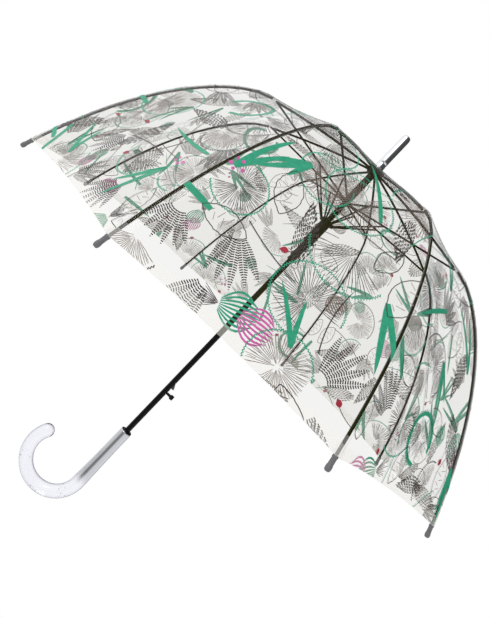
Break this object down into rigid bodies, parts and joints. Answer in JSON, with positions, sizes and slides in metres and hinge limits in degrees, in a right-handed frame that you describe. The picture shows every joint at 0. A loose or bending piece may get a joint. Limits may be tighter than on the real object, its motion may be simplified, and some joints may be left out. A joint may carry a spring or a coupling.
{
  "type": "clear bubble umbrella",
  "caption": "Stick umbrella with a deep clear bubble canopy, folding ribs on a spring-driven runner, a release button and a J hook handle.",
  "frame": {"origin": "on the shaft's axis in the middle of the silver hand grip", "axes": "+Z along the shaft towards the ferrule; the hook's mouth is on -X and the release button on +X"},
  "size_m": [0.7806, 0.7806, 0.8499],
  "materials": {
    "black_steel": "black lacquered steel",
    "black_plastic": "satin black moulded plastic",
    "grey_plastic": "dark grey moulded plastic",
    "chrome": "bright chrome plate",
    "silver": "silver satin metallic sleeve",
    "spring_steel": "dark spring steel",
    "clear_film": "clear printed film",
    "clear_acrylic": "clear acrylic with small bubbles"
  },
  "bodies": {
    "shaft": {"shaft_tube": "black_steel", "ferrule": "chrome", "canopy_cap": "black_plastic", "crown": "black_plastic", "handle_collar": "black_plastic", "handle_sleeve": "silver", "handle_hook": "clear_acrylic"},
    "runner": {"runner": "black_plastic", "opening_spring": "spring_steel"},
    "lower_runner": {"lower_runner": "black_plastic"},
    "catch": {"latch_catch": "spring_steel"},
    "button": {"release_button": "black_plastic"},
    "upper_rib_1": {"rib_upper_1": "black_steel"},
    "lower_rib_1": {"rib_lower_1": "black_steel", "tip_cap_1": "grey_plastic"},
    "stretcher_1": {"stretcher_1": "black_steel"},
    "strut_1": {"strut_1": "black_steel"},
    "gore_1": {"canopy_gore_1": "clear_film"},
    "upper_rib_2": {"rib_upper_2": "black_steel"},
    "lower_rib_2": {"rib_lower_2": "black_steel", "tip_cap_2": "grey_plastic"},
    "stretcher_2": {"stretcher_2": "black_steel"},
    "strut_2": {"strut_2": "black_steel"},
    "gore_2": {"canopy_gore_2": "clear_film"},
    "upper_rib_3": {"rib_upper_3": "black_steel"},
    "lower_rib_3": {"rib_lower_3": "black_steel", "tip_cap_3": "grey_plastic"},
    "stretcher_3": {"stretcher_3": "black_steel"},
    "strut_3": {"strut_3": "black_steel"},
    "gore_3": {"canopy_gore_3": "clear_film"},
    "upper_rib_4": {"rib_upper_4": "black_steel"},
    "lower_rib_4": {"rib_lower_4": "black_steel", "tip_cap_4": "grey_plastic"},
    "stretcher_4": {"stretcher_4": "black_steel"},
    "strut_4": {"strut_4": "black_steel"},
    "gore_4": {"canopy_gore_4": "clear_film"},
    "upper_rib_5": {"rib_upper_5": "black_steel"},
    "lower_rib_5": {"rib_lower_5": "black_steel", "tip_cap_5": "grey_plastic"},
    "stretcher_5": {"stretcher_5": "black_steel"},
    "strut_5": {"strut_5": "black_steel"},
    "gore_5": {"canopy_gore_5": "clear_film"},
    "upper_rib_6": {"rib_upper_6": "black_steel"},
    "lower_rib_6": {"rib_lower_6": "black_steel", "tip_cap_6": "grey_plastic"},
    "stretcher_6": {"stretcher_6": "black_steel"},
    "strut_6": {"strut_6": "black_steel"},
    "gore_6": {"canopy_gore_6": "clear_film"},
    "upper_rib_7": {"rib_upper_7": "black_steel"},
    "lower_rib_7": {"rib_lower_7": "black_steel", "tip_cap_7": "grey_plastic"},
    "stretcher_7": {"stretcher_7": "black_steel"},
    "strut_7": {"strut_7": "black_steel"},
    "gore_7": {"canopy_gore_7": "clear_film"},
    "upper_rib_8": {"rib_upper_8": "black_steel"},
    "lower_rib_8": {"rib_lower_8": "black_steel", "tip_cap_8": "grey_plastic"},
    "stretcher_8": {"stretcher_8": "black_steel"},
    "strut_8": {"strut_8": "black_steel"},
    "gore_8": {"canopy_gore_8": "clear_film"}
  },
  "joints": [
    {"name": "runner_slide", "type": "slide", "parent": "shaft", "child": "runner", "axis": [0, 0, -1], "range_m": [0, 0.3233], "stiffness_N_per_m": 60, "springref_m": -0.15},
    {"name": "lower_runner_slide", "type": "slide", "parent": "runner", "child": "lower_runner", "axis": [0, 0, 1], "range_m": [0, 0.0319], "deforming": ["opening_spring"]},
    {"name": "button_press", "type": "slide", "parent": "shaft", "child": "button", "axis": [-1, 0, 0], "range_m": [0, 0.0035], "stiffness_N_per_m": 300, "springref_m": -0.003},
    {"name": "latch_retract", "type": "slide", "parent": "shaft", "child": "catch", "axis": [-1, 0, 0], "range_m": [0, 0.0035]},
    {"name": "rib_fold_1", "type": "hinge", "parent": "shaft", "child": "upper_rib_1", "pos_m": [0.01109, 0.00459, 0.644], "axis": [-0.3827, 0.9239, 0], "range_deg": [0, 73.95]},
    {"name": "elbow_fold_1", "type": "hinge", "parent": "upper_rib_1", "child": "lower_rib_1", "pos_m": [0.18662, 0.0773, 0.5987], "axis": [-0.3827, 0.9239, 0], "range_deg": [-38.73, 0]},
    {"name": "stretcher_fold_1", "type": "hinge", "parent": "runner", "child": "stretcher_1", "pos_m": [0.00578, 0.00694, 0.5775], "axis": [-0.3827, 0.9239, 0], "range_deg": [-79.94, 0]},
    {"name": "strut_fold_1", "type": "hinge", "parent": "lower_runner", "child": "strut_1", "pos_m": [0.01155, 0.00478, 0.5305], "axis": [-0.3827, 0.9239, 0], "range_deg": [-49.9, 0]},
    {"name": "canopy_fold_1", "type": "hinge", "parent": "shaft", "child": "gore_1", "pos_m": [0, 0, 0.648], "axis": [-0.7071, 0.7071, 0], "range_deg": [0, 48], "deforming": ["canopy_gore_1"]},
    {"name": "rib_fold_2", "type": "hinge", "parent": "shaft", "child": "upper_rib_2", "pos_m": [0.00459, 0.01109, 0.644], "axis": [-0.9239, 0.3827, 0], "range_deg": [0, 73.95]},
    {"name": "elbow_fold_2", "type": "hinge", "parent": "upper_rib_2", "child": "lower_rib_2", "pos_m": [0.0773, 0.18662, 0.5987], "axis": [-0.9239, 0.3827, 0], "range_deg": [-38.73, 0]},
    {"name": "stretcher_fold_2", "type": "hinge", "parent": "runner", "child": "stretcher_2", "pos_m": [-0.00082, 0.009, 0.5775], "axis": [-0.9239, 0.3827, 0], "range_deg": [-79.94, 0]},
    {"name": "strut_fold_2", "type": "hinge", "parent": "lower_runner", "child": "strut_2", "pos_m": [0.00478, 0.01155, 0.5305], "axis": [-0.9239, 0.3827, 0], "range_deg": [-49.9, 0]},
    {"name": "canopy_fold_2", "type": "hinge", "parent": "shaft", "child": "gore_2", "pos_m": [0, 0, 0.648], "axis": [-1, 0, 0], "range_deg": [0, 48], "deforming": ["canopy_gore_2"]},
    {"name": "rib_fold_3", "type": "hinge", "parent": "shaft", "child": "upper_rib_3", "pos_m": [-0.00459, 0.01109, 0.644], "axis": [-0.9239, -0.3827, 0], "range_deg": [0, 73.95]},
    {"name": "elbow_fold_3", "type": "hinge", "parent": "upper_rib_3", "child": "lower_rib_3", "pos_m": [-0.0773, 0.18662, 0.5987], "axis": [-0.9239, -0.3827, 0], "range_deg": [-38.73, 0]},
    {"name": "stretcher_fold_3", "type": "hinge", "parent": "runner", "child": "stretcher_3", "pos_m": [-0.00694, 0.00578, 0.5775], "axis": [-0.9239, -0.3827, 0], "range_deg": [-79.94, 0]},
    {"name": "strut_fold_3", "type": "hinge", "parent": "lower_runner", "child": "strut_3", "pos_m": [-0.00478, 0.01155, 0.5305], "axis": [-0.9239, -0.3827, 0], "range_deg": [-49.9, 0]},
    {"name": "canopy_fold_3", "type": "hinge", "parent": "shaft", "child": "gore_3", "pos_m": [0, 0, 0.648], "axis": [-0.7071, -0.7071, 0], "range_deg": [0, 48], "deforming": ["canopy_gore_3"]},
    {"name": "rib_fold_4", "type": "hinge", "parent": "shaft", "child": "upper_rib_4", "pos_m": [-0.01109, 0.00459, 0.644], "axis": [-0.3827, -0.9239, 0], "range_deg": [0, 73.95]},
    {"name": "elbow_fold_4", "type": "hinge", "parent": "upper_rib_4", "child": "lower_rib_4", "pos_m": [-0.18662, 0.0773, 0.5987], "axis": [-0.3827, -0.9239, 0], "range_deg": [-38.73, 0]},
    {"name": "stretcher_fold_4", "type": "hinge", "parent": "runner", "child": "stretcher_4", "pos_m": [-0.009, -0.00082, 0.5775], "axis": [-0.3827, -0.9239, 0], "range_deg": [-79.94, 0]},
    {"name": "strut_fold_4", "type": "hinge", "parent": "lower_runner", "child": "strut_4", "pos_m": [-0.01155, 0.00478, 0.5305], "axis": [-0.3827, -0.9239, 0], "range_deg": [-49.9, 0]},
    {"name": "canopy_fold_4", "type": "hinge", "parent": "shaft", "child": "gore_4", "pos_m": [0, 0, 0.648], "axis": [0, -1, 0], "range_deg": [0, 48], "deforming": ["canopy_gore_4"]},
    {"name": "rib_fold_5", "type": "hinge", "parent": "shaft", "child": "upper_rib_5", "pos_m": [-0.01109, -0.00459, 0.644], "axis": [0.3827, -0.9239, 0], "range_deg": [0, 73.95]},
    {"name": "elbow_fold_5", "type": "hinge", "parent": "upper_rib_5", "child": "lower_rib_5", "pos_m": [-0.18662, -0.0773, 0.5987], "axis": [0.3827, -0.9239, 0], "range_deg": [-38.73, 0]},
    {"name": "stretcher_fold_5", "type": "hinge", "parent": "runner", "child": "stretcher_5", "pos_m": [-0.00578, -0.00694, 0.5775], "axis": [0.3827, -0.9239, 0], "range_deg": [-79.94, 0]},
    {"name": "strut_fold_5", "type": "hinge", "parent": "lower_runner", "child": "strut_5", "pos_m": [-0.01155, -0.00478, 0.5305], "axis": [0.3827, -0.9239, 0], "range_deg": [-49.9, 0]},
    {"name": "canopy_fold_5", "type": "hinge", "parent": "shaft", "child": "gore_5", "pos_m": [0, 0, 0.648], "axis": [0.7071, -0.7071, 0], "range_deg": [0, 48], "deforming": ["canopy_gore_5"]},
    {"name": "rib_fold_6", "type": "hinge", "parent": "shaft", "child": "upper_rib_6", "pos_m": [-0.00459, -0.01109, 0.644], "axis": [0.9239, -0.3827, 0], "range_deg": [0, 73.95]},
    {"name": "elbow_fold_6", "type": "hinge", "parent": "upper_rib_6", "child": "lower_rib_6", "pos_m": [-0.0773, -0.18662, 0.5987], "axis": [0.9239, -0.3827, 0], "range_deg": [-38.73, 0]},
    {"name": "stretcher_fold_6", "type": "hinge", "parent": "runner", "child": "stretcher_6", "pos_m": [0.00082, -0.009, 0.5775], "axis": [0.9239, -0.3827, 0], "range_deg": [-79.94, 0]},
    {"name": "strut_fold_6", "type": "hinge", "parent": "lower_runner", "child": "strut_6", "pos_m": [-0.00478, -0.01155, 0.5305], "axis": [0.9239, -0.3827, 0], "range_deg": [-49.9, 0]},
    {"name": "canopy_fold_6", "type": "hinge", "parent": "shaft", "child": "gore_6", "pos_m": [0, 0, 0.648], "axis": [1, 0, 0], "range_deg": [0, 48], "deforming": ["canopy_gore_6"]},
    {"name": "rib_fold_7", "type": "hinge", "parent": "shaft", "child": "upper_rib_7", "pos_m": [0.00459, -0.01109, 0.644], "axis": [0.9239, 0.3827, 0], "range_deg": [0, 73.95]},
    {"name": "elbow_fold_7", "type": "hinge", "parent": "upper_rib_7", "child": "lower_rib_7", "pos_m": [0.0773, -0.18662, 0.5987], "axis": [0.9239, 0.3827, 0], "range_deg": [-38.73, 0]},
    {"name": "stretcher_fold_7", "type": "hinge", "parent": "runner", "child": "stretcher_7", "pos_m": [0.00694, -0.00578, 0.5775], "axis": [0.9239, 0.3827, 0], "range_deg": [-79.94, 0]},
    {"name": "strut_fold_7", "type": "hinge", "parent": "lower_runner", "child": "strut_7", "pos_m": [0.00478, -0.01155, 0.5305], "axis": [0.9239, 0.3827, 0], "range_deg": [-49.9, 0]},
    {"name": "canopy_fold_7", "type": "hinge", "parent": "shaft", "child": "gore_7", "pos_m": [0, 0, 0.648], "axis": [0.7071, 0.7071, 0], "range_deg": [0, 48], "deforming": ["canopy_gore_7"]},
    {"name": "rib_fold_8", "type": "hinge", "parent": "shaft", "child": "upper_rib_8", "pos_m": [0.01109, -0.00459, 0.644], "axis": [0.3827, 0.9239, 0], "range_deg": [0, 73.95]},
    {"name": "elbow_fold_8", "type": "hinge", "parent": "upper_rib_8", "child": "lower_rib_8", "pos_m": [0.18662, -0.0773, 0.5987], "axis": [0.3827, 0.9239, 0], "range_deg": [-38.73, 0]},
    {"name": "stretcher_fold_8", "type": "hinge", "parent": "runner", "child": "stretcher_8", "pos_m": [0.009, 0.00082, 0.5775], "axis": [0.3827, 0.9239, 0], "range_deg": [-79.94, 0]},
    {"name": "strut_fold_8", "type": "hinge", "parent": "lower_runner", "child": "strut_8", "pos_m": [0.01155, -0.00478, 0.5305], "axis": [0.3827, 0.9239, 0], "range_deg": [-49.9, 0]},
    {"name": "canopy_fold_8", "type": "hinge", "parent": "shaft", "child": "gore_8", "pos_m": [0, 0, 0.648], "axis": [0, 1, 0], "range_deg": [0, 48], "deforming": ["canopy_gore_8"]}
  ],
  "couplings": [
    {"joint": "lower_runner_slide", "follows": "runner_slide", "ratio": 0.098669},
    {"joint": "latch_retract", "follows": "button_press", "ratio": 1},
    {"joint": "rib_fold_1", "follows": "runner_slide", "rad_per_m": 3.9921},
    {"joint": "elbow_fold_1", "follows": "runner_slide", "rad_per_m": -2.091},
    {"joint": "stretcher_fold_1", "follows": "runner_slide", "rad_per_m": -4.3158},
    {"joint": "strut_fold_1", "follows": "runner_slide", "rad_per_m": -2.6936},
    {"joint": "canopy_fold_1", "follows": "runner_slide", "rad_per_m": 2.5913},
    {"joint": "rib_fold_2", "follows": "runner_slide", "rad_per_m": 3.9921},
    {"joint": "elbow_fold_2", "follows": "runner_slide", "rad_per_m": -2.091},
    {"joint": "stretcher_fold_2", "follows": "runner_slide", "rad_per_m": -4.3158},
    {"joint": "strut_fold_2", "follows": "runner_slide", "rad_per_m": -2.6936},
    {"joint": "canopy_fold_2", "follows": "runner_slide", "rad_per_m": 2.5913},
    {"joint": "rib_fold_3", "follows": "runner_slide", "rad_per_m": 3.9921},
    {"joint": "elbow_fold_3", "follows": "runner_slide", "rad_per_m": -2.091},
    {"joint": "stretcher_fold_3", "follows": "runner_slide", "rad_per_m": -4.3158},
    {"joint": "strut_fold_3", "follows": "runner_slide", "rad_per_m": -2.6936},
    {"joint": "canopy_fold_3", "follows": "runner_slide", "rad_per_m": 2.5913},
    {"joint": "rib_fold_4", "follows": "runner_slide", "rad_per_m": 3.9921},
    {"joint": "elbow_fold_4", "follows": "runner_slide", "rad_per_m": -2.091},
    {"joint": "stretcher_fold_4", "follows": "runner_slide", "rad_per_m": -4.3158},
    {"joint": "strut_fold_4", "follows": "runner_slide", "rad_per_m": -2.6936},
    {"joint": "canopy_fold_4", "follows": "runner_slide", "rad_per_m": 2.5913},
    {"joint": "rib_fold_5", "follows": "runner_slide", "rad_per_m": 3.9921},
    {"joint": "elbow_fold_5", "follows": "runner_slide", "rad_per_m": -2.091},
    {"joint": "stretcher_fold_5", "follows": "runner_slide", "rad_per_m": -4.3158},
    {"joint": "strut_fold_5", "follows": "runner_slide", "rad_per_m": -2.6936},
    {"joint": "canopy_fold_5", "follows": "runner_slide", "rad_per_m": 2.5913},
    {"joint": "rib_fold_6", "follows": "runner_slide", "rad_per_m": 3.9921},
    {"joint": "elbow_fold_6", "follows": "runner_slide", "rad_per_m": -2.091},
    {"joint": "stretcher_fold_6", "follows": "runner_slide", "rad_per_m": -4.3158},
    {"joint": "strut_fold_6", "follows": "runner_slide", "rad_per_m": -2.6936},
    {"joint": "canopy_fold_6", "follows": "runner_slide", "rad_per_m": 2.5913},
    {"joint": "rib_fold_7", "follows": "runner_slide", "rad_per_m": 3.9921},
    {"joint": "elbow_fold_7", "follows": "runner_slide", "rad_per_m": -2.091},
    {"joint": "stretcher_fold_7", "follows": "runner_slide", "rad_per_m": -4.3158},
    {"joint": "strut_fold_7", "follows": "runner_slide", "rad_per_m": -2.6936},
    {"joint": "canopy_fold_7", "follows": "runner_slide", "rad_per_m": 2.5913},
    {"joint": "rib_fold_8", "follows": "runner_slide", "rad_per_m": 3.9921},
    {"joint": "elbow_fold_8", "follows": "runner_slide", "rad_per_m": -2.091},
    {"joint": "stretcher_fold_8", "follows": "runner_slide", "rad_per_m": -4.3158},
    {"joint": "strut_fold_8", "follows": "runner_slide", "rad_per_m": -2.6936},
    {"joint": "canopy_fold_8", "follows": "runner_slide", "rad_per_m": 2.5913}
  ]
}
